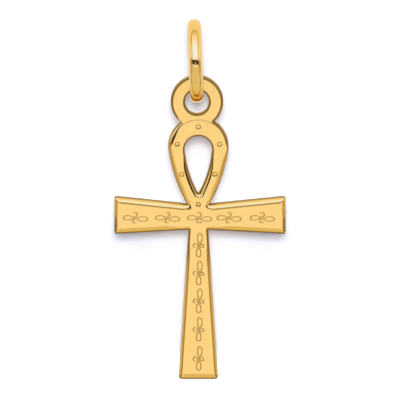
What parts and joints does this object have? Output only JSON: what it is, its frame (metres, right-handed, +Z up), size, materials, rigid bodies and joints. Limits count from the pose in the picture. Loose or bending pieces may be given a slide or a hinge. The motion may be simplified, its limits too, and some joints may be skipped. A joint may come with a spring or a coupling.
{
  "type": "ankh pendant",
  "caption": "Small cast gold ankh with a teardrop loop, flared arms and shaft, a flat eye on top, and the jump ring that it hangs from.",
  "frame": {"origin": "highest point of the inside of the jump ring, where a chain bears", "axes": "+Z up as the pendant hangs, +X to the right and the engraved front facing -Y"},
  "size_m": [0.0121, 0.0058, 0.0256],
  "materials": {
    "cross_gold": "polished, with fine engraved lines",
    "ring_gold": "polished"
  },
  "bodies": {
    "ring": {"jump_ring": "ring_gold"},
    "cross": {"ankh": "cross_gold"}
  },
  "joints": [
    {"name": "pendant_swing", "type": "hinge", "parent": "ring", "child": "cross", "pos_m": [0.00018, 0, -0.00484], "axis": [0, 1, 0], "range_deg": [-90, 90]}
  ]
}
